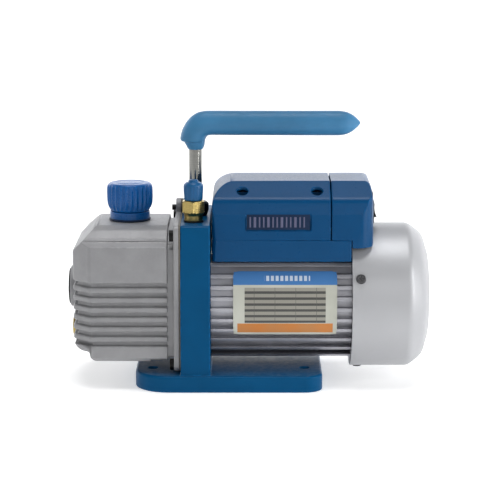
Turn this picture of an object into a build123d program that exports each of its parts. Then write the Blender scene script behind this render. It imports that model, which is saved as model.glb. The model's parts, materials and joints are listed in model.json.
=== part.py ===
from build123d import *
import os
from math import cos, pi, radians, sin

# Rotary vane vacuum pump with its motor, in millimetres.
# X runs along the shaft, with the oil tank at -X and the fan at +X. Y runs across, and Z is up.
# The origin is the centre of the base's foot.

os.makedirs("parts", exist_ok=True)

# Base and column
BASE_LENGTH = 140.0
BASE_WIDTH = 118.0
BASE_HEIGHT = 12.3
BASE_CORNER_LEFT = 26.0
BASE_CORNER_RIGHT = 13.0
BASE_HOLE_RADIUS = 3.5
BASE_HOLE_SPACING_X = 114.0
BASE_HOLE_SPACING_Y = 60.0
COLUMN_LEFT = -35.5
COLUMN_RIGHT = -13.5
COLUMN_TOP = 124.0
COLUMN_FOOT_HALF = 56.5
COLUMN_TOP_HALF = 50.0
SHAFT_Z = 63.0

# Oil tank
TANK_LEFT = -116.0
TANK_BODY_RIGHT = -45.3
TANK_HOLLOW_LEFT = -109.0
FLANGE_LEFT = -40.5
FLANGE_RIGHT = -36.5
FLANGE_HALF = 51.0
FLANGE_BOTTOM = 13.8
TANK_HALF = 48.5
TANK_BOTTOM = 21.0
TANK_TOP = 120.5
TANK_SHOULDER_Z = 107.5
TANK_FIN_TOP = 83.0
TANK_FIN_PITCH = 7.38
TANK_FIN_GROOVE = 3.3
TANK_FIN_DEPTH = 3.5
TANK_FINS = 7
EAR_Y = 18.0
EAR_Z = 127.0
EAR_RADIUS = 7.0
TANK_SCREW_Y = 45.5
TANK_SCREW_LOW_Z = 18.6
TANK_SCREW_HIGH_Z = 116.0
TANK_SCREW_HEAD = 3.2
GLASS_Z = 69.3
DRAIN_Z = 38.0
FILL_X = -75.0
FILL_HOLE_RADIUS = 12.05

# Pump set
PUMP_RADIUS = 35.0
BACK_PLATE_LEFT = -43.5
CYLINDER_LEFT = -71.5
FRONT_COVER_LEFT = -79.0
CYLINDER_BORE = 26.0
BORE_OFFSET = 3.0
ROTOR_RADIUS = 22.9
JOURNAL_RADIUS = 8.0
JOURNAL_HOLE = 8.05
ROTOR_END_PLAY = 0.05
VANE_THICKNESS = 5.0
VANE_INNER = 5.5
VANE_OUTER = 22.6
SLOT_CLEARANCE = 0.05
VALVE_FLAT_Z = 92.0
PUMP_BOLT_CIRCLE = 30.5

# Shaft, bearings and motor
BEARING_OUTER = 16.0
BEARING_BORE = 6.0
BEARING_WIDTH = 10.0
BEARING_PITCH = 11.0
BALL_RADIUS = 2.95
BALL_COUNT = 7
FRONT_BEARING_X = -18.5
REAR_BEARING_X = 87.0
SEAL_OUTER = 11.0
HOUSING_RIGHT = 92.0
HOUSING_BORE = 40.0
HOUSING_WALL = 43.6
FIN_TIP_RADIUS = 48.0
FIN_PITCH = 8.14
FIN_THICKNESS = 2.7
FIN_PHASE = -2.7
STATOR_LEFT = 10.0
STATOR_RIGHT = 60.0
STATOR_BORE = 24.0
STATOR_SLOTS = 12
TIE_BOLT_CIRCLE = 36.5

# Fan cover
COVER_LEFT = 91.7
COVER_RADIUS = 54.5
COVER_SHEET = 1.2
COVER_RIGHT = 150.4
COVER_SCREW_X = 98.0
COVER_SCREW_ANGLES = (23, 157, 270)

# Electrical box
BOX_LEFT = -12.2
BOX_RIGHT = 107.7
BOX_SPLIT = 75.6
BOX_JOINT = 0.8
BOX_HALF = 44.0
BOX_BOTTOM = 96.0
BOX_STEP_Z = 112.0
BOX_TOP = 153.3
BOX_WALL = 2.5
BOX_SCREW_X = (10.4, 65.7)
BOX_SCREW_Y = 31.0
SWITCH_Y = -14.0
SWITCH_HALF = 7.2
INLET_Y = 14.5
SOCKET_Z = 129.5

# Ports and handle
PORT_X = -26.0
PORT_Y = -30.0
HANDLE_X = -25.2
ROD_RADIUS = 4.8
GRIP_RADIUS = 9.4
GRIP_Z = 194.0
GRIP_RIGHT = 99.6

ALONG_X = (0, 90, 0)
FROM_END = (Align.CENTER, Align.CENTER, Align.MIN)
FROM_CORNER = (Align.MIN, Align.MIN, Align.MIN)


def cylinder_x(x_from, x_to, radius, y=0.0, z=SHAFT_Z, mode=Mode.ADD):
    """Cylinder along X in the part being built."""
    with Locations((x_from, y, z)):
        Cylinder(radius, x_to - x_from, rotation=ALONG_X, align=FROM_END, mode=mode)


def cylinder_z(x, y, z_from, z_to, radius, mode=Mode.ADD):
    """Upright cylinder in the part being built."""
    with Locations((x, y, z_from)):
        Cylinder(radius, z_to - z_from, align=FROM_END, mode=mode)


def block(x_span, y_span, z_span, mode=Mode.ADD):
    """Box between two corners, in the part being built."""
    with Locations((x_span[0], y_span[0], z_span[0])):
        Box(x_span[1] - x_span[0], y_span[1] - y_span[0], z_span[1] - z_span[0],
            align=FROM_CORNER, mode=mode)


def outline(plane, points, radius=None):
    """Closed face on a plane, with each corner rounded by its radius."""
    with BuildSketch(plane) as face:
        with BuildLine():
            if radius is None:
                Polyline(*points, close=True)
            else:
                FilletPolyline(*points, radius=radius, close=True)
        make_face()
    return face.sketch


def mirrored(half):
    """Half outline given at -Y, with its mirror image at +Y added."""
    return half + [(-y, z) for y, z in reversed(half)]


def around_shaft(count, radius, start=0.0):
    """Points (y, z) spaced evenly about the shaft."""
    turns = [radians(start + 360.0 * k / count) for k in range(count)]
    return [(radius * cos(t), SHAFT_Z + radius * sin(t)) for t in turns]


def socket_screw_x(x_face, y, z, shank_to, shank_radius, head_radius, head_height):
    """Socket head screw driven along +X, its head standing on the face at x_face."""
    cylinder_x(x_face - head_height, x_face, head_radius, y, z)
    cylinder_x(x_face, shank_to, shank_radius, y, z)
    with BuildSketch(Plane.YZ.offset(x_face - head_height)) as socket:
        with Locations((y, z)):
            RegularPolygon(shank_radius, 6)
    extrude(socket.sketch, amount=0.6 * head_height, mode=Mode.SUBTRACT)


def finish(builder, name):
    """Label the part and write its STEP file."""
    builder.part.label = name
    export_step(builder.part, f"parts/{name}.step")


# ---------------------------------------------------------------- base and column
CORNER_SCREWS = [(y, z) for y in (-TANK_SCREW_Y, TANK_SCREW_Y)
                 for z in (TANK_SCREW_LOW_Z, TANK_SCREW_HIGH_Z)]
TANK_SCREWS = [(y, z, 2.5, 4.25) for y, z in CORNER_SCREWS] + [(EAR_Y, EAR_Z, 1.5, 2.2)]
TIE_BOLTS = around_shaft(4, TIE_BOLT_CIRCLE, 45)
BASE_HOLES = [(sx * BASE_HOLE_SPACING_X / 2, sy * BASE_HOLE_SPACING_Y / 2)
              for sx in (-1, 1) for sy in (-1, 1)]

with BuildPart() as base_frame:
    with BuildSketch() as foot:
        Rectangle(BASE_LENGTH, BASE_WIDTH)
        fillet(foot.vertices().group_by(Axis.X)[0], BASE_CORNER_LEFT)
        fillet(foot.vertices().group_by(Axis.X)[-1], BASE_CORNER_RIGHT)
    extrude(amount=BASE_HEIGHT)
    fillet(base_frame.faces().sort_by(Axis.Z)[-1].edges(), 2.0)
    column = outline(Plane.YZ.offset(COLUMN_LEFT),
                     [(-COLUMN_FOOT_HALF, 0.5), (-COLUMN_TOP_HALF, COLUMN_TOP),
                      (COLUMN_TOP_HALF, COLUMN_TOP), (COLUMN_FOOT_HALF, 0.5)], [0, 4, 4, 0])
    extrude(column, amount=COLUMN_RIGHT - COLUMN_LEFT)
    # Lug behind the oil tank's ear
    cylinder_x(COLUMN_LEFT, COLUMN_LEFT + 12, EAR_RADIUS, EAR_Y, EAR_Z)
    block((COLUMN_LEFT, COLUMN_LEFT + 12), (EAR_Y - EAR_RADIUS, EAR_Y + EAR_RADIUS),
          (COLUMN_TOP - 5, EAR_Z))
    # Bearing seat, shaft hole and lip seal seat
    cylinder_x(FRONT_BEARING_X - BEARING_WIDTH / 2, COLUMN_RIGHT, BEARING_OUTER, mode=Mode.SUBTRACT)
    cylinder_x(COLUMN_LEFT, COLUMN_RIGHT, 7.0, mode=Mode.SUBTRACT)
    cylinder_x(COLUMN_LEFT, COLUMN_LEFT + 7, SEAL_OUTER, mode=Mode.SUBTRACT)
    # Intake: threaded mouth, sloping passage and outlet to the pump set
    cylinder_z(PORT_X, PORT_Y, COLUMN_TOP - 12, COLUMN_TOP, 6.5, mode=Mode.SUBTRACT)
    passage = Line((PORT_X, PORT_Y, COLUMN_TOP - 10), (PORT_X, -17.5, 77))
    with BuildSketch(Plane(origin=passage @ 0, z_dir=passage % 0)) as passage_section:
        Circle(3.0)
    extrude(passage_section.sketch, amount=passage.length, mode=Mode.SUBTRACT)
    cylinder_x(COLUMN_LEFT, PORT_X + 4.0, 3.3, -17.5, 77, mode=Mode.SUBTRACT)
    # Handle thread, tank screw holes, tie bolt holes and bolt holes in the base
    cylinder_z(HANDLE_X, 0, COLUMN_TOP - 18, COLUMN_TOP, ROD_RADIUS, mode=Mode.SUBTRACT)
    for y, z, shank_radius, _ in TANK_SCREWS:
        cylinder_x(COLUMN_LEFT, COLUMN_LEFT + 11.5, shank_radius, y, z, mode=Mode.SUBTRACT)
    for y, z in TIE_BOLTS:
        cylinder_x(COLUMN_RIGHT - 8, COLUMN_RIGHT, 2.0, y, z, mode=Mode.SUBTRACT)
    for x, y in BASE_HOLES:
        cylinder_z(x, y, 0, BASE_HEIGHT, BASE_HOLE_RADIUS, mode=Mode.SUBTRACT)
finish(base_frame, "base_frame")

# ---------------------------------------------------------------- oil tank
TANK_WINDOW = [(-41, 25), (-41, 104), (-24, 116.5), (24, 116.5), (41, 104), (41, 25)]
FIN_TOPS = [TANK_FIN_TOP - TANK_FIN_PITCH * k for k in range(TANK_FINS + 1)]


def flange_outline(x):
    """Outline shared by the tank's flange and its gasket, with the ear for the top screw."""
    with BuildSketch(Plane.YZ.offset(x)) as face:
        with Locations((0, (COLUMN_TOP + FLANGE_BOTTOM) / 2)):
            RectangleRounded(2 * FLANGE_HALF, COLUMN_TOP - FLANGE_BOTTOM, 5)
        with Locations((EAR_Y, EAR_Z)):
            Circle(EAR_RADIUS)
        with Locations((EAR_Y, COLUMN_TOP)):
            Rectangle(2 * EAR_RADIUS, 2 * (EAR_Z - COLUMN_TOP))
        with BuildLine():
            Polyline(*TANK_WINDOW, close=True)
        make_face(mode=Mode.SUBTRACT)
        for y, z, shank_radius, _ in TANK_SCREWS:
            with Locations((y, z)):
                Circle(shank_radius + 0.3, mode=Mode.SUBTRACT)
    return face.sketch


def tank_side(x, inset=0.0):
    """Cross-section of the tank: upright sides, then a stepped slope up to the flat top."""
    half = [(-TANK_HALF + 2.5, TANK_BOTTOM), (-TANK_HALF, TANK_BOTTOM + 3), (-TANK_HALF, TANK_SHOULDER_Z),
            (-42.5, 110.2), (-41.5, 112.2), (-39.0, 112.9), (-34.0, 117.4), (-31.0, 118.2),
            (-26.0, TANK_TOP)]
    face = outline(Plane.YZ.offset(x), mirrored(half))
    return offset(face, amount=-inset, mode=Mode.PRIVATE) if inset else face


def tank_plan(z, inset=0.0):
    """Plan of the tank body, with its left corners cut off."""
    points = [(TANK_BODY_RIGHT, -TANK_HALF), (-103, -TANK_HALF), (TANK_LEFT, -36), (TANK_LEFT, 36),
              (-103, TANK_HALF), (TANK_BODY_RIGHT, TANK_HALF)]
    face = outline(Plane.XY.offset(z), points, [0, 5, 5, 5, 5, 0])
    return offset(face, amount=-inset, mode=Mode.PRIVATE) if inset else face


with BuildPart() as oil_tank:
    extrude(tank_plan(TANK_BOTTOM), amount=TANK_TOP - TANK_BOTTOM)
    extrude(tank_side(TANK_LEFT), amount=TANK_BODY_RIGHT - TANK_LEFT, mode=Mode.INTERSECT)
    front_view = [(TANK_BODY_RIGHT, TANK_BOTTOM), (-102, TANK_BOTTOM), (-103.5, 28.6), (TANK_LEFT, 28.6),
                  (TANK_LEFT, 103.5), (-99, TANK_TOP), (TANK_BODY_RIGHT, TANK_TOP)]
    extrude(outline(Plane.XZ, front_view, [0, 5, 2, 8, 5, 5, 0]), amount=60, both=True,
            mode=Mode.INTERSECT)
    for top in FIN_TOPS[:-1]:
        z_low = top - 2.6 - TANK_FIN_GROOVE
        with BuildSketch(Plane.XY.offset(z_low)) as ring:
            add(tank_plan(0, -5))
            add(tank_plan(0, TANK_FIN_DEPTH), mode=Mode.SUBTRACT)
            with Locations((TANK_BODY_RIGHT, 0)):
                Rectangle(3 * TANK_FIN_DEPTH, 2 * (TANK_HALF - TANK_FIN_DEPTH), mode=Mode.SUBTRACT)
        extrude(ring.sketch, amount=TANK_FIN_GROOVE, mode=Mode.SUBTRACT)
    # Narrower neck, flange and hollow
    extrude(tank_side(TANK_BODY_RIGHT - 1, 3.0), amount=FLANGE_RIGHT - TANK_BODY_RIGHT - 0.5)
    extrude(flange_outline(FLANGE_LEFT), amount=FLANGE_RIGHT - FLANGE_LEFT)
    with BuildPart(mode=Mode.PRIVATE) as hollow:
        extrude(outline(Plane.YZ.offset(TANK_HOLLOW_LEFT), TANK_WINDOW),
                amount=FLANGE_RIGHT - TANK_HOLLOW_LEFT)
        hollow_view = [(FLANGE_RIGHT, 24), (-99, 24), (TANK_HOLLOW_LEFT, 34), (TANK_HOLLOW_LEFT, 101),
                       (-94, 117), (FLANGE_RIGHT, 117)]
        extrude(outline(Plane.XZ, hollow_view), amount=60, both=True, mode=Mode.INTERSECT)
        hollow_plan = [(FLANGE_RIGHT, -42), (-101, -42), (TANK_HOLLOW_LEFT, -34), (TANK_HOLLOW_LEFT, 34),
                       (-101, 42), (FLANGE_RIGHT, 42)]
        extrude(outline(Plane.XY, hollow_plan), amount=120, mode=Mode.INTERSECT)
    add(hollow.part, mode=Mode.SUBTRACT)
    for y, z in CORNER_SCREWS:
        cylinder_x(-58, FLANGE_LEFT, 4.8, y, z, mode=Mode.SUBTRACT)
    # Filler hole, sight glass boss and drain boss
    cylinder_z(FILL_X, 0, 110, TANK_TOP, FILL_HOLE_RADIUS, mode=Mode.SUBTRACT)
    cylinder_x(-120.2, -108, 15.5, z=GLASS_Z)
    cylinder_x(-120.2, -113.4, 12.5, z=GLASS_Z, mode=Mode.SUBTRACT)
    cylinder_x(-120.2, -108, 9.5, z=GLASS_Z, mode=Mode.SUBTRACT)
    cylinder_x(TANK_LEFT, -109, 9.0, z=DRAIN_Z)
    cylinder_x(TANK_LEFT, -109, 5.0, z=DRAIN_Z, mode=Mode.SUBTRACT)
finish(oil_tank, "oil_tank")

with BuildPart() as tank_gasket:
    extrude(flange_outline(FLANGE_RIGHT), amount=COLUMN_LEFT - FLANGE_RIGHT)
finish(tank_gasket, "tank_gasket")

with BuildPart() as tank_screws:
    for y, z, shank_radius, head_radius in TANK_SCREWS:
        socket_screw_x(FLANGE_LEFT, y, z, COLUMN_LEFT + 11, shank_radius, head_radius, TANK_SCREW_HEAD)
finish(tank_screws, "tank_screws")

with BuildPart() as sight_glass_seal:
    cylinder_x(-114.4, -113.4, 12.3, z=GLASS_Z)
    cylinder_x(-114.4, -113.4, 9.5, z=GLASS_Z, mode=Mode.SUBTRACT)
finish(sight_glass_seal, "sight_glass_seal")

with BuildPart() as sight_glass:
    cylinder_x(-117.4, -114.4, 12.3, z=GLASS_Z)
finish(sight_glass, "sight_glass")

with BuildPart() as sight_glass_ring:
    cylinder_x(-120.2, -117.4, 12.5, z=GLASS_Z)
    cylinder_x(-121.4, -120.2, 14.0, z=GLASS_Z)
    chamfer(sight_glass_ring.faces().sort_by(Axis.X)[0].edges(), 0.8)
    cylinder_x(-121.4, -117.4, 9.5, z=GLASS_Z, mode=Mode.SUBTRACT)
    for y, z in ((-11.7, GLASS_Z), (11.7, GLASS_Z)):
        block((-121.4, -120.6), (y - 1.2, y + 1.2), (z - 1.5, z + 1.5), mode=Mode.SUBTRACT)
finish(sight_glass_ring, "sight_glass_ring")

with BuildPart() as drain_plug:
    cylinder_x(-119.2, -117, 7.0, z=DRAIN_Z)
    chamfer(drain_plug.faces().sort_by(Axis.X)[0].edges(), 0.6)
    cylinder_x(-117, -109.5, 4.92, z=DRAIN_Z)
    with BuildSketch(Plane.YZ.offset(-119.2)) as key_socket:
        with Locations((0, DRAIN_Z)):
            RegularPolygon(3.0, 6)
    extrude(key_socket.sketch, amount=4, mode=Mode.SUBTRACT)
finish(drain_plug, "drain_plug")

with BuildPart() as drain_seal:
    cylinder_x(-117, TANK_LEFT, 6.8, z=DRAIN_Z)
    cylinder_x(-117, TANK_LEFT, 5.0, z=DRAIN_Z, mode=Mode.SUBTRACT)
finish(drain_seal, "drain_seal")

# ---------------------------------------------------------------- filler neck and exhaust cap
NECK_TOP = 141.5
CAP_BOTTOM = 127.8
CAP_TOP = 149.0
CAP_RADIUS = 17.35
CAP_RIBS = 26

with BuildPart() as exhaust_neck:
    cylinder_z(FILL_X, 0, 113, TANK_TOP, 12.0)
    cylinder_z(FILL_X, 0, TANK_TOP, 127.5, 15.0)
    cylinder_z(FILL_X, 0, 127.5, NECK_TOP, 12.5)
    cylinder_z(FILL_X, 0, 115, NECK_TOP, 9.5, mode=Mode.SUBTRACT)
    cylinder_z(FILL_X, 0, 113, 115, 7.5, mode=Mode.SUBTRACT)
finish(exhaust_neck, "exhaust_neck")

with BuildPart() as exhaust_filter:
    cylinder_z(FILL_X, 0, 115, 126, 9.4)
    cylinder_z(FILL_X, 0, 115, 126, 2.5, mode=Mode.SUBTRACT)
finish(exhaust_filter, "exhaust_filter")

with BuildPart() as exhaust_cap_seal:
    cylinder_z(FILL_X, 0, NECK_TOP, NECK_TOP + 1, 13.02)
    cylinder_z(FILL_X, 0, NECK_TOP, NECK_TOP + 1, 9.5, mode=Mode.SUBTRACT)
finish(exhaust_cap_seal, "exhaust_cap_seal")

with BuildPart() as exhaust_cap:
    profile = outline(Plane.XZ, [(0, CAP_BOTTOM), (15.4, CAP_BOTTOM), (16.6, 131), (CAP_RADIUS, 136),
                                 (CAP_RADIUS, CAP_TOP), (0, CAP_TOP)], [0, 0, 0, 0, 2.5, 0])
    revolve(profile, Axis.Z)
    with PolarLocations(CAP_RADIUS + 0.5, CAP_RIBS):
        with Locations((0, 0, CAP_BOTTOM)):
            Cylinder(1.2, CAP_TOP - CAP_BOTTOM - 2.2, align=FROM_END, mode=Mode.SUBTRACT)
    cylinder_z(0, 0, CAP_BOTTOM, NECK_TOP + 1.2, 13.1, mode=Mode.SUBTRACT)
exhaust_cap.part.locate(Pos(FILL_X, 0, 0))
finish(exhaust_cap, "exhaust_cap")

# ---------------------------------------------------------------- pump set inside the tank
PUMP_BOLTS = around_shaft(6, PUMP_BOLT_CIRCLE, 0)
BORE_Z = SHAFT_Z - BORE_OFFSET
EXHAUST_PORTS = [(x, 8.5) for x in (-64.5, -50.5)]
VALVE_SCREWS = [(x, -3.0) for x in (-64.5, -50.5)]

with BuildPart() as pump_back_plate:
    cylinder_x(BACK_PLATE_LEFT, COLUMN_LEFT, PUMP_RADIUS)
    cylinder_x(BACK_PLATE_LEFT, COLUMN_LEFT, JOURNAL_HOLE, mode=Mode.SUBTRACT)
    cylinder_x(BACK_PLATE_LEFT, COLUMN_LEFT, 3.3, -17.5, 77, mode=Mode.SUBTRACT)
    for y, z in PUMP_BOLTS:
        cylinder_x(BACK_PLATE_LEFT, COLUMN_LEFT, 2.0, y, z, mode=Mode.SUBTRACT)
finish(pump_back_plate, "pump_back_plate")

with BuildPart() as pump_stator:
    cylinder_x(CYLINDER_LEFT, BACK_PLATE_LEFT, PUMP_RADIUS)
    block((CYLINDER_LEFT, BACK_PLATE_LEFT), (-PUMP_RADIUS, PUMP_RADIUS), (VALVE_FLAT_Z, 100),
          mode=Mode.SUBTRACT)
    cylinder_x(CYLINDER_LEFT, BACK_PLATE_LEFT, CYLINDER_BORE, z=BORE_Z, mode=Mode.SUBTRACT)
    for y, z in PUMP_BOLTS:
        cylinder_x(CYLINDER_LEFT, BACK_PLATE_LEFT, 2.1, y, z, mode=Mode.SUBTRACT)
    for x, y in EXHAUST_PORTS:
        cylinder_z(x, y, BORE_Z, VALVE_FLAT_Z, 2.0, mode=Mode.SUBTRACT)
    for x, y in VALVE_SCREWS:
        cylinder_z(x, y, VALVE_FLAT_Z - 5, VALVE_FLAT_Z, 1.2, mode=Mode.SUBTRACT)
finish(pump_stator, "pump_stator")

with BuildPart() as pump_front_cover:
    cylinder_x(FRONT_COVER_LEFT, CYLINDER_LEFT, PUMP_RADIUS)
    chamfer(pump_front_cover.faces().sort_by(Axis.X)[0].edges(), 1.5)
    cylinder_x(FRONT_COVER_LEFT, CYLINDER_LEFT, JOURNAL_HOLE, mode=Mode.SUBTRACT)
    for y, z in PUMP_BOLTS:
        cylinder_x(FRONT_COVER_LEFT, CYLINDER_LEFT, 2.1, y, z, mode=Mode.SUBTRACT)
finish(pump_front_cover, "pump_front_cover")

with BuildPart() as pump_screws:
    for y, z in PUMP_BOLTS:
        socket_screw_x(FRONT_COVER_LEFT, y, z, COLUMN_LEFT, 2.0, 3.4, 4.0)
finish(pump_screws, "pump_screws")

ROTOR_LEFT = CYLINDER_LEFT + ROTOR_END_PLAY
ROTOR_RIGHT = BACK_PLATE_LEFT - ROTOR_END_PLAY
ROTOR_MIDDLE = (ROTOR_LEFT + ROTOR_RIGHT) / 2
SPRING_X = (ROTOR_MIDDLE - 7, ROTOR_MIDDLE + 7)
JOURNAL_END = -36.2

with BuildPart() as pump_rotor:
    cylinder_x(ROTOR_LEFT, ROTOR_RIGHT, ROTOR_RADIUS)
    cylinder_x(FRONT_COVER_LEFT, JOURNAL_END, JOURNAL_RADIUS)
    slot_half = VANE_THICKNESS / 2 + SLOT_CLEARANCE
    for y_span in ((-ROTOR_RADIUS - 1, -VANE_INNER), (VANE_INNER, ROTOR_RADIUS + 1)):
        block((ROTOR_LEFT, ROTOR_RIGHT), y_span, (SHAFT_Z - slot_half, SHAFT_Z + slot_half),
              mode=Mode.SUBTRACT)
    for x in SPRING_X:
        with Locations((x, 0, SHAFT_Z)):
            Cylinder(2.4, 2 * VANE_INNER + 2, rotation=(90, 0, 0), mode=Mode.SUBTRACT)
    block((-42.2, JOURNAL_END), (-JOURNAL_RADIUS, JOURNAL_RADIUS), (SHAFT_Z - 2.05, SHAFT_Z + 2.05),
          mode=Mode.SUBTRACT)
finish(pump_rotor, "pump_rotor")

for name, side in (("vane_a", -1), ("vane_b", 1)):
    with BuildPart() as vane:
        span = sorted((side * VANE_INNER, side * VANE_OUTER))
        block((ROTOR_LEFT, ROTOR_RIGHT), span,
              (SHAFT_Z - VANE_THICKNESS / 2, SHAFT_Z + VANE_THICKNESS / 2))
        tip = vane.faces().sort_by(Axis.Y)[-1 if side > 0 else 0]
        fillet(tip.edges().filter_by(Axis.X), 1.5)
    finish(vane, name)

with BuildPart() as vane_springs:
    for x in SPRING_X:
        wire = Helix(pitch=1.9, height=2 * VANE_INNER - 1.0, radius=1.9,
                     center=(x, -VANE_INNER + 0.5, SHAFT_Z), direction=(0, 1, 0))
        with BuildSketch(Plane(origin=wire @ 0, z_dir=wire % 0)) as wire_section:
            Circle(0.35)
        sweep(wire_section.sketch, path=wire)
finish(vane_springs, "vane_springs")

REED_HALF = 10.5
REED_RISE = 1.6

with BuildPart() as valve_reed:
    block((ROTOR_MIDDLE - REED_HALF, ROTOR_MIDDLE + REED_HALF), (-6, 13),
          (VALVE_FLAT_Z, VALVE_FLAT_Z + 0.3))
    for x, y in VALVE_SCREWS:
        cylinder_z(x, y, VALVE_FLAT_Z, VALVE_FLAT_Z + 0.3, 1.3, mode=Mode.SUBTRACT)
finish(valve_reed, "valve_reed")

with BuildPart() as valve_stop:
    low, high = VALVE_FLAT_Z + 0.3, VALVE_FLAT_Z + 1.8
    side_view = [(-6, low), (0, low), (13, low + REED_RISE),
                 (13, high + REED_RISE), (0, high), (-6, high)]
    extrude(outline(Plane.YZ.offset(ROTOR_MIDDLE - REED_HALF), side_view), amount=2 * REED_HALF)
    for x, y in VALVE_SCREWS:
        cylinder_z(x, y, low, high, 1.3, mode=Mode.SUBTRACT)
finish(valve_stop, "valve_stop")

with BuildPart() as valve_screws:
    for x, y in VALVE_SCREWS:
        cylinder_z(x, y, VALVE_FLAT_Z - 4.5, high, 1.2)
        cylinder_z(x, y, high, high + 1.8, 2.4)
        block((x - 2.4, x + 2.4), (y - 0.3, y + 0.3), (high + 0.9, high + 1.8), mode=Mode.SUBTRACT)
finish(valve_screws, "valve_screws")

# ---------------------------------------------------------------- shaft and bearings
with BuildPart() as shaft_seal:
    seal_right = COLUMN_LEFT + 7
    cylinder_x(COLUMN_LEFT, seal_right, SEAL_OUTER)
    cylinder_x(COLUMN_LEFT, seal_right, 6.05, mode=Mode.SUBTRACT)
    cylinder_x(COLUMN_LEFT + 1.5, seal_right, 9.4, mode=Mode.SUBTRACT)
    cylinder_x(COLUMN_LEFT + 1.5, seal_right - 1.5, 7.2)
    cylinder_x(COLUMN_LEFT + 1.5, seal_right - 1.5, 6.05, mode=Mode.SUBTRACT)
finish(shaft_seal, "shaft_seal")

BEARINGS = (("front", FRONT_BEARING_X), ("rear", REAR_BEARING_X))


def bearing_ring(x, inner, outer, groove_z):
    """Bearing ring about the shaft, with its ball groove."""
    section = outline(Plane.XZ, [(x - BEARING_WIDTH / 2, inner), (x + BEARING_WIDTH / 2, inner),
                                 (x + BEARING_WIDTH / 2, outer), (x - BEARING_WIDTH / 2, outer)])
    with BuildPart() as ring:
        revolve(section, Axis.X)
        with BuildSketch(Plane.XZ) as groove:
            with Locations((x, groove_z)):
                Circle(BALL_RADIUS + 0.06)
        revolve(groove.sketch, Axis.X, mode=Mode.SUBTRACT)
    ring.part.locate(Pos(0, 0, SHAFT_Z))
    return ring


for name, x in BEARINGS:
    finish(bearing_ring(x, 13.3, BEARING_OUTER, BEARING_PITCH), f"{name}_bearing_outer")
    finish(bearing_ring(x, BEARING_BORE, 8.7, BEARING_PITCH), f"{name}_bearing_inner")
    with BuildPart() as balls:
        with Locations(*[(x, y, z) for y, z in around_shaft(BALL_COUNT, BEARING_PITCH, 90)]):
            Sphere(BALL_RADIUS)
    finish(balls, f"{name}_bearing_balls")

SHAFT_STEPS = ((-36.0, -13.5, BEARING_BORE), (-13.5, 82.0, 8.0), (82.0, 94.0, BEARING_BORE),
               (94.0, 125.0, 5.0))

with BuildPart() as motor_shaft:
    for x_from, x_to, radius in SHAFT_STEPS:
        cylinder_x(x_from, x_to, radius)
    block((-42.0, -36.0), (-5.0, 5.0), (SHAFT_Z - 2.0, SHAFT_Z + 2.0))
    cylinder_x(122.1, 123.3, 6.0, mode=Mode.SUBTRACT)
    cylinder_x(122.1, 123.3, 4.5)
finish(motor_shaft, "motor_shaft")

# ---------------------------------------------------------------- motor
FIN_LEVELS = [SHAFT_Z + FIN_PHASE + FIN_PITCH * k for k in range(-5, 6)]

with BuildPart() as motor_housing:
    with BuildSketch(Plane.YZ.offset(COLUMN_RIGHT)) as fins:
        with Locations(*[(0, z) for z in FIN_LEVELS]):
            Rectangle(2 * FIN_TIP_RADIUS, FIN_THICKNESS)
        with Locations((0, SHAFT_Z)):
            Circle(FIN_TIP_RADIUS, mode=Mode.INTERSECT)
            Circle(HOUSING_WALL)
            Circle(HOUSING_BORE, mode=Mode.SUBTRACT)
    extrude(fins.sketch, amount=HOUSING_RIGHT - COLUMN_RIGHT)
finish(motor_housing, "motor_housing")


def stator_slots(x, length, clearance):
    """Radial slots of the stator, each made smaller by the clearance."""
    width = 5.0 - 2 * clearance
    for k in range(STATOR_SLOTS):
        turn = 360.0 * k / STATOR_SLOTS + 360.0 / STATOR_SLOTS / 2
        plane = Plane(origin=(x, 0, SHAFT_Z), x_dir=(0, cos(radians(turn)), sin(radians(turn))),
                      z_dir=(1, 0, 0))
        with BuildSketch(plane) as slot:
            with Locations((29.5, 0)):
                Rectangle(7.0 - 2 * clearance, width)
        yield slot.sketch, length


with BuildPart() as stator_core:
    cylinder_x(STATOR_LEFT, STATOR_RIGHT, HOUSING_BORE)
    cylinder_x(STATOR_LEFT, STATOR_RIGHT, STATOR_BORE, mode=Mode.SUBTRACT)
    for slot, length in stator_slots(STATOR_LEFT, STATOR_RIGHT - STATOR_LEFT, 0.0):
        extrude(slot, amount=length, mode=Mode.SUBTRACT)
    for y, z in TIE_BOLTS:
        cylinder_x(STATOR_LEFT, STATOR_RIGHT, 2.3, y, z, mode=Mode.SUBTRACT)
finish(stator_core, "stator_core")

END_TURN_LENGTH = 9.0

with BuildPart() as end_turns:
    for x_from in (STATOR_LEFT - END_TURN_LENGTH, STATOR_RIGHT):
        x_to = x_from + END_TURN_LENGTH
        revolve(outline(Plane.XZ, [(x_from, 26), (x_to, 26), (x_to, 33.3), (x_from, 33.3)], 2.0), Axis.X)
with BuildPart() as stator_winding:
    add(end_turns.part.moved(Pos(0, 0, SHAFT_Z)))
    for slot, length in stator_slots(STATOR_LEFT - 1, STATOR_RIGHT - STATOR_LEFT + 2, 0.1):
        extrude(slot, amount=length)
finish(stator_winding, "stator_winding")

with BuildPart() as rotor_core:
    cylinder_x(STATOR_LEFT - 4, STATOR_RIGHT + 4, 21.5)
    cylinder_x(STATOR_LEFT, STATOR_RIGHT, STATOR_BORE - 0.3)
    cylinder_x(STATOR_LEFT - 4, STATOR_RIGHT + 4, 8.0, mode=Mode.SUBTRACT)
finish(rotor_core, "rotor_core")

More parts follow.
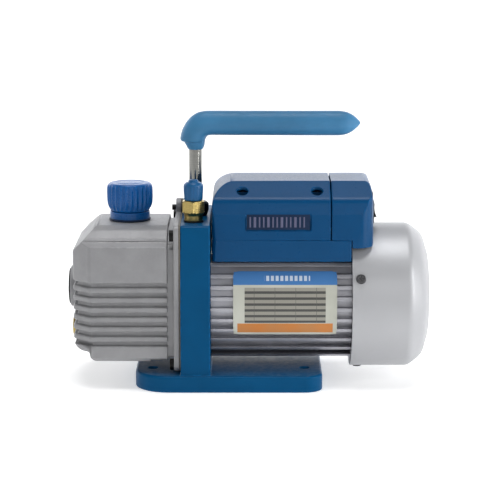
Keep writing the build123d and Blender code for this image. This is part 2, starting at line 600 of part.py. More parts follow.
with BuildPart() as rear_shield:
    cylinder_x(HOUSING_RIGHT, HOUSING_RIGHT + 4, 46.0)
    cylinder_x(HOUSING_RIGHT - 4, HOUSING_RIGHT, HOUSING_BORE)
    cylinder_x(80.5, HOUSING_RIGHT, 20.0)
    for angle in COVER_SCREW_ANGLES:
        lug_plane = Plane(origin=(HOUSING_RIGHT, 0, SHAFT_Z),
                          x_dir=(0, -cos(radians(angle)), sin(radians(angle))), z_dir=(1, 0, 0))
        with BuildSketch(lug_plane) as lug:
            with Locations((47.0, 0)):
                Rectangle(12.0, 11.0)
        extrude(lug.sketch, amount=10.5)
    cylinder_x(80.5, 92.0, BEARING_OUTER, mode=Mode.SUBTRACT)
    cylinder_x(80.5, HOUSING_RIGHT + 4, 8.5, mode=Mode.SUBTRACT)
    for y, z in TIE_BOLTS:
        cylinder_x(HOUSING_RIGHT - 4, HOUSING_RIGHT + 4, 2.2, y, z, mode=Mode.SUBTRACT)
    with Locations(*[(HOUSING_RIGHT, y, z) for y, z in around_shaft(4, 30.0)]):
        Cylinder(6.0, 12.0, rotation=ALONG_X, mode=Mode.SUBTRACT)
    for angle in COVER_SCREW_ANGLES:
        axis_plane = Plane(origin=(COVER_SCREW_X, 0, SHAFT_Z),
                           z_dir=(0, -cos(radians(angle)), sin(radians(angle))))
        with BuildSketch(axis_plane.offset(45.0)) as hole:
            Circle(2.0)
        extrude(hole.sketch, amount=9.0, mode=Mode.SUBTRACT)
finish(rear_shield, "rear_shield")

with BuildPart() as tie_bolts:
    for y, z in TIE_BOLTS:
        cylinder_x(COLUMN_RIGHT - 7.5, HOUSING_RIGHT + 4, 2.0, y, z)
        with BuildSketch(Plane.YZ.offset(HOUSING_RIGHT + 4)) as head:
            with Locations((y, z)):
                RegularPolygon(4.0, 6)
        extrude(head.sketch, amount=2.8)
finish(tie_bolts, "tie_bolts")

with BuildPart() as cooling_fan:
    cylinder_x(104, 122, 9.0)
    cylinder_x(104, 106, 42.0)
    for k in range(7):
        turn = radians(360.0 * k / 7)
        blade_plane = Plane(origin=(105, 0, SHAFT_Z), x_dir=(0, cos(turn), sin(turn)), z_dir=(1, 0, 0))
        with BuildSketch(blade_plane) as blade:
            with Locations((26.5, 0)):
                Rectangle(37.0, 2.2)
        extrude(blade.sketch, amount=17.0)
    cylinder_x(104, 122, 5.0, mode=Mode.SUBTRACT)
finish(cooling_fan, "cooling_fan")

with BuildPart() as fan_clip:
    cylinder_x(122.2, 123.2, 7.0)
    cylinder_x(122.2, 123.2, 4.6, mode=Mode.SUBTRACT)
    block((122.2, 123.2), (-2.5, 2.5), (SHAFT_Z + 2, SHAFT_Z + 8), mode=Mode.SUBTRACT)
finish(fan_clip, "fan_clip")

# ---------------------------------------------------------------- fan cover
COVER_STRAIGHT_END = 132.5
COVER_FLAT_RADIUS = 29.0
VENT_RINGS = ((9.0, 4, 8.0), (15.0, 8, 8.0), (21.0, 12, 8.0), (26.5, 16, 8.0))

with BuildPart() as fan_cover:
    for inset, mode in ((0.0, Mode.ADD), (COVER_SHEET, Mode.SUBTRACT)):
        left, right = COVER_LEFT, COVER_RIGHT - inset
        radius = COVER_RADIUS - inset
        with BuildSketch(Plane.XZ) as half_section:
            with BuildLine():
                rim = Line((left, 0), (left, radius))
                side = Line(rim @ 1, (COVER_STRAIGHT_END, radius))
                shoulder = Spline(side @ 1, (140.0 - 0.4 * inset, 51.2 - inset),
                                  (145.6 - 0.8 * inset, 46.2 - inset),
                                  (148.8 - inset, 37.3 - 0.4 * inset),
                                  (right, COVER_FLAT_RADIUS), tangents=((1, 0), (0, -1)))
                Line(shoulder @ 1, (right, 0))
                Line((right, 0), rim @ 0)
            make_face()
        revolve(half_section.sketch, Axis.X, mode=mode)
    for radius, count, length in VENT_RINGS:
        with BuildSketch(Plane.YZ.offset(COVER_RIGHT - 3)) as vents:
            with PolarLocations(radius, count):
                SlotOverall(length, 3.0, rotation=90)
        extrude(vents.sketch, amount=6, mode=Mode.SUBTRACT)
    for angle in COVER_SCREW_ANGLES:
        axis_plane = Plane(origin=(COVER_SCREW_X, 0, 0),
                           z_dir=(0, -cos(radians(angle)), sin(radians(angle))))
        with BuildSketch(axis_plane.offset(45.0)) as hole:
            Circle(2.2)
        extrude(hole.sketch, amount=12.0, mode=Mode.SUBTRACT)
fan_cover.part.locate(Pos(0, 0, SHAFT_Z))
finish(fan_cover, "fan_cover")

with BuildPart() as fan_cover_screws:
    for angle in COVER_SCREW_ANGLES:
        axis_plane = Plane(origin=(COVER_SCREW_X, 0, SHAFT_Z),
                           z_dir=(0, -cos(radians(angle)), sin(radians(angle))))
        with BuildSketch(axis_plane.offset(46.0)) as shank:
            Circle(2.0)
        extrude(shank.sketch, amount=9.0)
        with BuildSketch(axis_plane.offset(COVER_RADIUS)) as screw_head:
            Circle(3.8)
        extrude(screw_head.sketch, amount=2.0, taper=18)
        with BuildSketch(axis_plane.offset(COVER_RADIUS + 0.9)) as cross:
            Rectangle(4.0, 0.9)
            Rectangle(0.9, 4.0)
        extrude(cross.sketch, amount=2.0, mode=Mode.SUBTRACT)
finish(fan_cover_screws, "fan_cover_screws")

with BuildPart() as rating_plate:
    plate_left, plate_right = 3.5, 80.6
    cylinder_x(plate_left, plate_right, FIN_TIP_RADIUS + 0.5)
    cylinder_x(plate_left, plate_right, FIN_TIP_RADIUS, mode=Mode.SUBTRACT)
    block((plate_left, plate_right), (-60, -20), (41.0, 88.5), mode=Mode.INTERSECT)
finish(rating_plate, "rating_plate")

# ---------------------------------------------------------------- electrical box
SADDLE_RADIUS = FIN_TIP_RADIUS + 0.5
COVER_CLEAR_RADIUS = COVER_RADIUS + 0.8


def box_section(x, inset=0.0):
    """Cross-section of the electrical box: flat top, sloping shoulders and upright sides."""
    half = [(-BOX_HALF + 1, BOX_BOTTOM - 40), (-BOX_HALF, BOX_STEP_Z), (-BOX_HALF + 0.5, 131), (-40, 142),
            (-21, BOX_TOP)]
    face = outline(Plane.YZ.offset(x), mirrored(half), [0, 0, 4, 8, 3, 3, 8, 4, 0, 0])
    return offset(face, amount=-inset, mode=Mode.PRIVATE) if inset else face


def box_front(inset=0.0):
    """Front view of the box: rounded top left corner and leaning right end."""
    points = [(BOX_LEFT, 50), (BOX_LEFT, BOX_TOP), (105.5, BOX_TOP), (BOX_RIGHT, 138), (BOX_RIGHT, 50)]
    face = outline(Plane.XZ, points, [0, 17, 5, 6, 0])
    return offset(face, amount=-inset, mode=Mode.PRIVATE) if inset else face


def box_plan(inset=0.0):
    """Plan of the box, its right corners well rounded."""
    points = [(BOX_LEFT, -BOX_HALF), (BOX_RIGHT, -BOX_HALF), (BOX_RIGHT, BOX_HALF), (BOX_LEFT, BOX_HALF)]
    face = outline(Plane.XY, points, [4, 13, 13, 4])
    return offset(face, amount=-inset, mode=Mode.PRIVATE) if inset else face


def box_body(inset):
    """Closed body of the whole box, made smaller on all sides by the inset."""
    with BuildPart() as body:
        extrude(box_section(BOX_LEFT, inset), amount=BOX_RIGHT - BOX_LEFT)
        extrude(box_front(inset), amount=60, both=True, mode=Mode.INTERSECT)
        extrude(box_plan(inset), amount=200, mode=Mode.INTERSECT)
    return body.part


BOX_OUTSIDE = box_body(0.0)
BOX_INSIDE = box_body(BOX_WALL)
BOX_SCREWS = [(x, y) for x in BOX_SCREW_X for y in (-BOX_SCREW_Y, BOX_SCREW_Y)]
SCREW_SEAT_Z = 141.0

with BuildPart() as terminal_box:
    add(BOX_OUTSIDE)
    block((BOX_LEFT, COVER_LEFT - 0.6), (-60, 60), (BOX_BOTTOM, BOX_STEP_Z), mode=Mode.INTERSECT)
    with BuildPart(mode=Mode.PRIVATE) as saddle_hollow:
        add(BOX_INSIDE)
        block((BOX_LEFT, COVER_LEFT - 3.5), (-60, 60), (BOX_BOTTOM, BOX_STEP_Z + 1), mode=Mode.INTERSECT)
        cylinder_x(BOX_LEFT, COVER_LEFT, SADDLE_RADIUS + 2.5, mode=Mode.SUBTRACT)
    add(saddle_hollow.part, mode=Mode.SUBTRACT)
    cylinder_x(BOX_LEFT, COVER_LEFT, SADDLE_RADIUS, mode=Mode.SUBTRACT)
    for x, y in BOX_SCREWS:
        cylinder_z(x, y, BOX_BOTTOM + 4, BOX_STEP_Z, 4.0)
    cylinder_x(BOX_LEFT, COVER_LEFT, SADDLE_RADIUS, mode=Mode.SUBTRACT)
    for x, y in BOX_SCREWS:
        cylinder_z(x, y, BOX_STEP_Z - 8, BOX_STEP_Z, 1.5, mode=Mode.SUBTRACT)
finish(terminal_box, "terminal_box")

with BuildPart() as terminal_box_cover:
    add(BOX_OUTSIDE)
    add(BOX_INSIDE, mode=Mode.SUBTRACT)
    for x, y in BOX_SCREWS:
        cylinder_z(x, y, BOX_STEP_Z, 146.0, 6.0)
    add(BOX_OUTSIDE, mode=Mode.INTERSECT)
    block((BOX_LEFT, BOX_SPLIT), (-60, 60), (BOX_STEP_Z, 160), mode=Mode.INTERSECT)
    for x, y in BOX_SCREWS:
        cylinder_z(x, y, SCREW_SEAT_Z, 160, 4.2, mode=Mode.SUBTRACT)
        cylinder_z(x, y, BOX_STEP_Z, 160, 1.7, mode=Mode.SUBTRACT)
    block((13, 61), (-60, -BOX_HALF + 0.8), (119.5, 132), mode=Mode.SUBTRACT)
finish(terminal_box_cover, "terminal_box_cover")

with BuildPart() as switch_cover:
    add(BOX_OUTSIDE)
    add(BOX_INSIDE, mode=Mode.SUBTRACT)
    with BuildPart(mode=Mode.PRIVATE) as end_region:
        block((BOX_SPLIT + BOX_JOINT, 120), (-60, 60), (BOX_STEP_Z, 160))
        block((COVER_LEFT, 120), (-60, 60), (106, 160))
    add(end_region.part, mode=Mode.INTERSECT)
    cylinder_x(COVER_LEFT - 0.5, 120, COVER_CLEAR_RADIUS, mode=Mode.SUBTRACT)
    end_wall = (BOX_RIGHT - 5, BOX_RIGHT + 5)
    block(end_wall, (SWITCH_Y - 6.5, SWITCH_Y + 6.5),
          (SOCKET_Z - SWITCH_HALF - 0.1, SOCKET_Z + SWITCH_HALF + 0.1), mode=Mode.SUBTRACT)
    block(end_wall, (INLET_Y - 13.5, INLET_Y + 13.5),
          (SOCKET_Z - 9.8, SOCKET_Z + 9.8), mode=Mode.SUBTRACT)
finish(switch_cover, "switch_cover")

with BuildPart() as box_screws:
    for x, y in BOX_SCREWS:
        cylinder_z(x, y, BOX_STEP_Z - 7.5, SCREW_SEAT_Z, 1.5)
        cylinder_z(x, y, SCREW_SEAT_Z, SCREW_SEAT_Z + 2.2, 3.4)
        block((x - 2.2, x + 2.2), (y - 0.4, y + 0.4), (SCREW_SEAT_Z + 1.2, SCREW_SEAT_Z + 2.2),
              mode=Mode.SUBTRACT)
        block((x - 0.4, x + 0.4), (y - 2.2, y + 2.2), (SCREW_SEAT_Z + 1.2, SCREW_SEAT_Z + 2.2),
              mode=Mode.SUBTRACT)
finish(box_screws, "box_screws")

with BuildPart() as capacitor:
    cylinder_x(2, 60, 15.0, 6.0, 131.0)
    fillet(capacitor.edges().filter_by(GeomType.CIRCLE), 1.5)
    cylinder_x(60, 66, 1.2, 0.0, 131.0)
    cylinder_x(60, 66, 1.2, 12.0, 131.0)
finish(capacitor, "capacitor")

with BuildPart() as terminal_block:
    block((20, 52), (-37, -27), (114.5, 126))
    for k in range(4):
        cylinder_z(24 + 8 * k, -32, 120, 126, 2.6, mode=Mode.SUBTRACT)
finish(terminal_block, "terminal_block")

with BuildPart() as power_switch:
    block((88, BOX_RIGHT), (SWITCH_Y - 6.4, SWITCH_Y + 6.4),
          (SOCKET_Z - SWITCH_HALF, SOCKET_Z + SWITCH_HALF))
    block((BOX_RIGHT, BOX_RIGHT + 1.2), (SWITCH_Y - 7.5, SWITCH_Y + 7.5),
          (SOCKET_Z - SWITCH_HALF - 1, SOCKET_Z + SWITCH_HALF + 1))
    fillet(power_switch.faces().sort_by(Axis.X)[-1].edges(), 0.5)
    block((BOX_RIGHT - 9, BOX_RIGHT + 2), (SWITCH_Y - 4.6, SWITCH_Y + 4.6),
          (SOCKET_Z - 6.1, SOCKET_Z + 6.1), mode=Mode.SUBTRACT)
finish(power_switch, "power_switch")

ROCKER_PIVOT_X = BOX_RIGHT - 3.0
ROCKER_TILT = -9.0

with BuildPart() as switch_rocker:
    with BuildSketch(Plane.XZ.offset(-SWITCH_Y - 4.3)) as rocker_side:
        with BuildLine():
            hub = CenterArc((0, 0), 3.6, 90, 180)
            low_end = Polyline(hub @ 1, (3.2, -5.0), (5.6, -5.0))
            dish = ThreePointArc(low_end @ 1, (4.8, 0), (5.6, 5.0))
            Polyline(dish @ 1, (3.2, 5.0), hub @ 0)
        make_face()
    extrude(rocker_side.sketch, amount=8.6)
switch_rocker.part.locate(Pos(ROCKER_PIVOT_X, 0, SOCKET_Z) * Rot(0, ROCKER_TILT, 0))
finish(switch_rocker, "switch_rocker")


def inlet_blades(mode=Mode.ADD):
    """The three flat blades of the mains inlet."""
    for y, z in ((-7, -2), (0, 2), (7, -2)):
        block((80, BOX_RIGHT - 2), (INLET_Y + y - 1, INLET_Y + y + 1),
              (SOCKET_Z + z - 2, SOCKET_Z + z + 2), mode)


with BuildPart() as mains_inlet:
    block((86, BOX_RIGHT), (INLET_Y - 13.4, INLET_Y + 13.4), (SOCKET_Z - 9.7, SOCKET_Z + 9.7))
    block((BOX_RIGHT, BOX_RIGHT + 1.5), (INLET_Y - 15.5, INLET_Y + 15.5),
          (SOCKET_Z - 11.8, SOCKET_Z + 11.8))
    fillet(mains_inlet.faces().sort_by(Axis.X)[-1].edges(), 0.6)
    socket_outline = [(INLET_Y - 12, SOCKET_Z - 8.2), (INLET_Y - 12, SOCKET_Z + 4),
                      (INLET_Y - 8, SOCKET_Z + 8.2), (INLET_Y + 8, SOCKET_Z + 8.2),
                      (INLET_Y + 12, SOCKET_Z + 4), (INLET_Y + 12, SOCKET_Z - 8.2)]
    extrude(outline(Plane.YZ.offset(BOX_RIGHT + 1.5), socket_outline, 1.0), amount=-17, mode=Mode.SUBTRACT)
    inlet_blades(Mode.SUBTRACT)
finish(mains_inlet, "mains_inlet")

with BuildPart() as inlet_pins:
    inlet_blades()
finish(inlet_pins, "inlet_pins")

# ---------------------------------------------------------------- intake port
FITTING_HEX_Z = 131.0
FITTING_TOP = 140.0
NIPPLE_TOP = 151.0
NIPPLE_RADIUS = 5.4
INTAKE_CAP_TOP = 155.5
INTAKE_CAP_RADIUS = 7.3

with BuildPart() as intake_seal:
    cylinder_z(PORT_X, PORT_Y, COLUMN_TOP, COLUMN_TOP + 1, 7.4)
    cylinder_z(PORT_X, PORT_Y, COLUMN_TOP, COLUMN_TOP + 1, 6.5, mode=Mode.SUBTRACT)
finish(intake_seal, "intake_seal")

with BuildPart() as intake_fitting:
    cylinder_z(PORT_X, PORT_Y, COLUMN_TOP - 12, COLUMN_TOP + 1, 6.5)
    cylinder_z(PORT_X, PORT_Y, COLUMN_TOP + 1, FITTING_HEX_Z, 7.0)
    with BuildSketch(Plane.XY.offset(FITTING_HEX_Z)) as flats:
        with Locations((PORT_X, PORT_Y)):
            RegularPolygon(9.2, 6)
    extrude(flats.sketch, amount=FITTING_TOP - FITTING_HEX_Z)
    cylinder_z(PORT_X, PORT_Y, FITTING_TOP, NIPPLE_TOP, NIPPLE_RADIUS)
    cylinder_z(PORT_X, PORT_Y, COLUMN_TOP - 12, NIPPLE_TOP, 2.6, mode=Mode.SUBTRACT)
finish(intake_fitting, "intake_fitting")

with BuildPart() as intake_cap_seal:
    cylinder_z(PORT_X, PORT_Y, NIPPLE_TOP, NIPPLE_TOP + 1, 5.88)
    cylinder_z(PORT_X, PORT_Y, NIPPLE_TOP, NIPPLE_TOP + 1, 3.0, mode=Mode.SUBTRACT)
finish(intake_cap_seal, "intake_cap_seal")

with BuildPart() as intake_cap:
    cylinder_z(PORT_X, PORT_Y, FITTING_TOP + 0.3, INTAKE_CAP_TOP, INTAKE_CAP_RADIUS)
    fillet(intake_cap.faces().sort_by(Axis.Z)[-1].edges(), 1.8)
    cylinder_z(PORT_X, PORT_Y, FITTING_TOP + 0.3, NIPPLE_TOP + 1.2, 5.95, mode=Mode.SUBTRACT)
    for k in range(16):
        turn = 2 * pi * k / 16
        cylinder_z(PORT_X + 7.6 * cos(turn), PORT_Y + 7.6 * sin(turn), 141.5, 153.0, 0.6,
                   mode=Mode.SUBTRACT)
finish(intake_cap, "intake_cap")

# ---------------------------------------------------------------- handle
ROD_BEND = 16.0
GRIP_ROD_END = 84.0
ELBOW_X = -14.0

with BuildPart() as handle_rod:
    with BuildLine() as rod_path:
        FilletPolyline((HANDLE_X, 0, COLUMN_TOP - 17), (HANDLE_X, 0, GRIP_Z), (GRIP_ROD_END, 0, GRIP_Z),
                       radius=ROD_BEND)
    with BuildSketch(Plane.XY.offset(COLUMN_TOP - 17)) as rod_section:
        with Locations((HANDLE_X, 0)):
            Circle(ROD_RADIUS)
    sweep()
finish(handle_rod, "handle_rod")

with BuildPart() as handle_nut:
    nut_profile = outline(Plane.XZ, [(ROD_RADIUS, COLUMN_TOP), (8.6, COLUMN_TOP), (9.9, COLUMN_TOP + 4),
                                     (9.9, COLUMN_TOP + 9), (8.0, COLUMN_TOP + 10.6),
                                     (ROD_RADIUS, COLUMN_TOP + 10.6)], [0, 1, 2, 1.5, 1, 0])
    revolve(nut_profile, Axis.Z)
handle_nut.part.locate(Pos(HANDLE_X, 0, 0))
finish(handle_nut, "handle_nut")

with BuildPart() as handle_grip:
    # Straight sleeve with a bullet nose
    with BuildSketch(Plane.XZ) as sleeve:
        with BuildLine():
            back = Line((ELBOW_X, 0), (ELBOW_X, GRIP_RADIUS))
            top = Line(back @ 1, (86, GRIP_RADIUS))
            nose = Spline(top @ 1, (94.5, 6.2), (GRIP_RIGHT, 0), tangents=((1, 0), (0, -1)))
            Line(nose @ 1, back @ 0)
        make_face()
    revolve(sleeve.sketch, Axis.X)
straight_grip = handle_grip.part.moved(Pos(0, 0, GRIP_Z))
elbow_sections = (
    (Plane(origin=(ELBOW_X, 0, GRIP_Z), z_dir=(-1, 0, 0)), GRIP_RADIUS),
    (Plane(origin=(-21.5, 0, 190.6), z_dir=(-1, 0, -1)), 10.2),
    (Plane(origin=(-26.9, 0, 182.5), z_dir=(-0.25, 0, -1)), 10.4),
)
with BuildPart() as handle_grip:
    add(straight_grip)
    for plane, radius in elbow_sections:
        with BuildSketch(plane):
            Circle(radius)
    loft()
    for plane, radius in (elbow_sections[-1], (Plane(origin=(HANDLE_X, 0, 174.6), z_dir=(0, 0, -1)), 5.9)):
        with BuildSketch(plane):
            Circle(radius)
    loft()
    add(handle_rod.part, mode=Mode.SUBTRACT)
finish(handle_grip, "handle_grip")
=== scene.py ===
import json
from math import cos, pi, radians, sin, sqrt

import bmesh
import bpy
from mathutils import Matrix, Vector


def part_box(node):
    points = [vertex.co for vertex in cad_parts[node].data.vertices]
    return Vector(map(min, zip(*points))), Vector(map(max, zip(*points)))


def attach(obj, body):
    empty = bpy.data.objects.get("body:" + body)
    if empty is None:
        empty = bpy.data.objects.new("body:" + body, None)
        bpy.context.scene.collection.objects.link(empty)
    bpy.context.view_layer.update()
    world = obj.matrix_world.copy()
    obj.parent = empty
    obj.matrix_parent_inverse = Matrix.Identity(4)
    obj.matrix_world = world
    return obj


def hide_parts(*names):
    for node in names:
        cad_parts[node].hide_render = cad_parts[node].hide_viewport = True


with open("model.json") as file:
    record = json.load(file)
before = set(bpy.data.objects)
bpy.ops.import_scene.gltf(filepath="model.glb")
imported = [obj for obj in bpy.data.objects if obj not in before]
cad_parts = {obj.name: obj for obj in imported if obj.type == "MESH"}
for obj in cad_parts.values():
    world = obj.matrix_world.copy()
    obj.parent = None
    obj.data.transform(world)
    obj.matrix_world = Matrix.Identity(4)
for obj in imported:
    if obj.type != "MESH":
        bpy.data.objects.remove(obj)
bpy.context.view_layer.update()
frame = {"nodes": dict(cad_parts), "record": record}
NODES = frame["nodes"]
MM = 0.001


# ---------------------------------------------------------------- materials
def srgb(red, green, blue):
    """Linear colour of an 8-bit sRGB one."""
    def linear(c):
        c /= 255
        return c / 12.92 if c <= 0.04045 else ((c + 0.055) / 1.055) ** 2.4
    return (linear(red), linear(green), linear(blue), 1.0)


class Surface:
    """A node material with a Principled shader and helpers for procedural detail."""

    def __init__(self, name, colour, roughness, metallic=0.0, **sockets):
        self.material = bpy.data.materials.new(name)
        self.material.use_nodes = True
        self.tree = self.material.node_tree
        self.shader = self.tree.nodes["Principled BSDF"]
        self.shader.inputs["Base Color"].default_value = colour
        self.shader.inputs["Roughness"].default_value = roughness
        self.shader.inputs["Metallic"].default_value = metallic
        for key, value in sockets.items():
            self.shader.inputs[key.replace("_", " ")].default_value = value
        self.material.diffuse_color = colour
        self.colour = colour
        self.place = self.node("ShaderNodeTexCoord").outputs["Object"]
        self.height = None

    def node(self, kind, **settings):
        made = self.tree.nodes.new(kind)
        for key, value in settings.items():
            setattr(made, key, value)
        return made

    def link(self, source, target):
        self.tree.links.new(source, target)

    def stretched(self, scale):
        """Object coordinates with each axis scaled on its own."""
        mapping = self.node("ShaderNodeMapping")
        mapping.inputs["Scale"].default_value = scale
        self.link(self.place, mapping.inputs["Vector"])
        return mapping.outputs["Vector"]

    def noise(self, scale, detail=3.0, stretch=None):
        """Noise whose grain is 1/scale metres."""
        made = self.node("ShaderNodeTexNoise")
        made.inputs["Scale"].default_value = scale
        made.inputs["Detail"].default_value = detail
        self.link(self.stretched(stretch) if stretch else self.place, made.inputs["Vector"])
        return made.outputs["Fac"]

    def ramp(self, source, low, high, start=0.0, end=1.0):
        """Value mapped from low..high onto start..end, clamped."""
        made = self.node("ShaderNodeMapRange")
        for name, value in (("From Min", low), ("From Max", high), ("To Min", start), ("To Max", end)):
            made.inputs[name].default_value = value
        self.link(source, made.inputs["Value"])
        return made.outputs["Result"]

    def mix_colour(self, amount, first, second):
        made = self.node("ShaderNodeMix", data_type="RGBA")
        for socket, value in ((made.inputs[6], first), (made.inputs[7], second)):
            if isinstance(value, bpy.types.NodeSocket):
                self.link(value, socket)
            else:
                socket.default_value = value
        self.link(amount, made.inputs["Factor"])
        return made.outputs[2]

    def maths(self, operation, first, second):
        made = self.node("ShaderNodeMath", operation=operation)
        for socket, value in zip(made.inputs, (first, second)):
            if isinstance(value, bpy.types.NodeSocket):
                self.link(value, socket)
            else:
                socket.default_value = value
        return made.outputs[0]

    def colour_from(self, source):
        self.link(source, self.shader.inputs["Base Color"])

    def roughness_from(self, source):
        self.link(source, self.shader.inputs["Roughness"])

    def bump(self, source, depth, strength=1.0):
        """Adds relief of the given depth in metres."""
        made = self.node("ShaderNodeBump")
        made.inputs["Distance"].default_value = depth
        made.inputs["Strength"].default_value = strength
        self.link(source, made.inputs["Height"])
        if self.height is not None:
            self.link(self.height, made.inputs["Normal"])
        self.height = made.outputs["Normal"]
        self.link(self.height, self.shader.inputs["Normal"])

    def edge_wear(self, base, worn):
        """Colour that goes to worn on the rounded edges, broken up by noise."""
        rub = self.node("ShaderNodeAttribute", attribute_name="rub").outputs["Fac"]
        patchy = self.maths("MULTIPLY", rub, self.ramp(self.noise(220), 0.42, 0.62, 0.0, 0.7))
        return self.mix_colour(patchy, base, worn)


def shade(colour, factor):
    return tuple(min(1.0, c * factor) for c in colour[:3]) + (1.0,)


def mottled(surface, scale, low, high):
    """Base colour with slow light and dark patches."""
    patches = surface.ramp(surface.noise(scale, 4.0), 0.3, 0.7)
    return surface.mix_colour(patches, shade(surface.colour, low), shade(surface.colour, high))


def enamel(name, colour):
    """Stoved enamel over a casting: orange peel, faint mottling, rubbed edges."""
    s = Surface(name, colour, 0.36, Specular_IOR_Level=0.08)
    s.colour_from(s.edge_wear(mottled(s, 45, 0.93, 1.07), shade(colour, 2.2)))
    s.roughness_from(s.ramp(s.noise(300), 0.3, 0.7, 0.3, 0.44))
    s.bump(s.noise(420, 2.0), 0.00012, 0.3)
    s.bump(s.noise(1600, 1.0), 0.00004, 0.3)
    return s.material


def cast_alloy(name, colour, metallic, roughness, grain=0.00010):
    """Shot-blasted aluminium casting with a grainy skin and bright rubbed edges."""
    s = Surface(name, colour, roughness, metallic)
    s.colour_from(s.edge_wear(mottled(s, 60, 0.92, 1.08), shade(colour, 1.35)))
    s.roughness_from(s.ramp(s.noise(500), 0.3, 0.7, roughness - 0.07, roughness + 0.08))
    s.bump(s.noise(900, 4.0), grain, 0.5)
    s.bump(s.noise(2600, 1.0), grain * 0.4, 0.4)
    return s.material


def satin_paint(name, colour, metallic, roughness):
    """Smooth sprayed silver over pressed sheet: fine flake, faint orange peel, rubbed edges."""
    s = Surface(name, colour, roughness, metallic)
    s.colour_from(s.edge_wear(mottled(s, 30, 0.985, 1.015), shade(colour, 1.2)))
    s.roughness_from(s.ramp(s.noise(260), 0.3, 0.7, roughness - 0.03, roughness + 0.04))
    s.bump(s.noise(700, 2.0), 0.00003, 0.3)
    return s.material


def moulded(name, colour, roughness, texture=0.00005, specular=0.09):
    """Moulded plastic with a fine spark-eroded texture."""
    s = Surface(name, colour, roughness, Specular_IOR_Level=specular)
    s.colour_from(s.edge_wear(mottled(s, 70, 0.96, 1.04), shade(colour, 1.7)))
    s.roughness_from(s.ramp(s.noise(700), 0.3, 0.7, roughness - 0.05, roughness + 0.06))
    s.bump(s.noise(2200, 2.0), texture, 0.5)
    return s.material


def soft_rubber(name, colour, roughness=0.5):
    """Soft moulded rubber with a faint dusty sheen and a leathery skin."""
    s = Surface(name, colour, roughness, Sheen_Weight=0.05, Sheen_Roughness=0.4, Specular_IOR_Level=0.35)
    s.shader.inputs["Sheen Tint"].default_value = (0.75, 0.85, 0.95, 1.0)
    s.colour_from(mottled(s, 38, 0.88, 1.12))
    s.roughness_from(s.ramp(s.noise(240), 0.3, 0.7, roughness - 0.08, roughness + 0.1))
    cells = s.node("ShaderNodeTexVoronoi", feature="DISTANCE_TO_EDGE")
    cells.inputs["Scale"].default_value = 1500
    s.link(s.place, cells.inputs["Vector"])
    s.bump(cells.outputs["Distance"], 0.00006, 0.4)
    s.bump(s.noise(90, 3.0), 0.0002, 0.25)
    return s.material


def turned(name, colour, roughness, axis, grain=0.35):
    """Machined metal with fine lines across the axis it was turned on."""
    s = Surface(name, colour, roughness, 1.0)
    stretch = {"X": (4000, 60, 60), "Z": (60, 60, 4000), "ALL": (900, 900, 900)}[axis]
    lines = s.noise(1.0, 2.0, stretch)
    s.colour_from(s.mix_colour(s.ramp(lines, 0.35, 0.65), shade(colour, 0.88), shade(colour, 1.08)))
    s.roughness_from(s.ramp(lines, 0.3, 0.7, roughness - 0.05, roughness + 0.08))
    s.bump(lines, 0.00003, grain)
    return s.material


def laminated(name, colour):
    """Stack of 0.5 mm steel sheets along X."""
    s = Surface(name, colour, 0.45, 0.9)
    wave = s.node("ShaderNodeTexWave", wave_type="BANDS", bands_direction="X")
    wave.inputs["Scale"].default_value = 2000 / (2 * pi) * 0.5
    s.link(s.place, wave.inputs["Vector"])
    s.colour_from(s.mix_colour(wave.outputs["Fac"], shade(colour, 0.6), shade(colour, 1.2)))
    s.bump(wave.outputs["Fac"], 0.00005, 0.5)
    return s.material


def wound_copper(name):
    """Enamelled copper wire wound in turns."""
    s = Surface(name, srgb(150, 78, 32), 0.32, 0.85, Coat_Weight=0.4)
    wave = s.node("ShaderNodeTexWave", wave_type="RINGS", rings_direction="X")
    wave.inputs["Scale"].default_value = 260
    wave.inputs["Distortion"].default_value = 1.5
    s.link(s.place, wave.inputs["Vector"])
    s.colour_from(s.mix_colour(wave.outputs["Fac"], srgb(84, 40, 18), srgb(186, 104, 46)))
    s.bump(wave.outputs["Fac"], 0.0003, 0.6)
    return s.material


def window_glass(name):
    s = Surface(name, (0.9, 0.95, 0.93, 1.0), 0.04, Transmission_Weight=0.9, IOR=1.49)
    s.roughness_from(s.ramp(s.noise(120), 0.3, 0.7, 0.02, 0.10))
    return s.material


def felt(name, colour):
    s = Surface(name, colour, 0.9, Sheen_Weight=0.3)
    s.colour_from(mottled(s, 900, 0.75, 1.1))
    s.bump(s.noise(1800, 5.0), 0.0003, 0.7)
    return s.material


ENAMEL_BLUE = srgb(2, 76, 120)
BOX_BLUE = srgb(0, 68, 114)
CAP_BLUE = srgb(0, 88, 158)
FLARE_BLUE = srgb(22, 88, 138)
GRIP_BLUE = srgb(58, 120, 162)

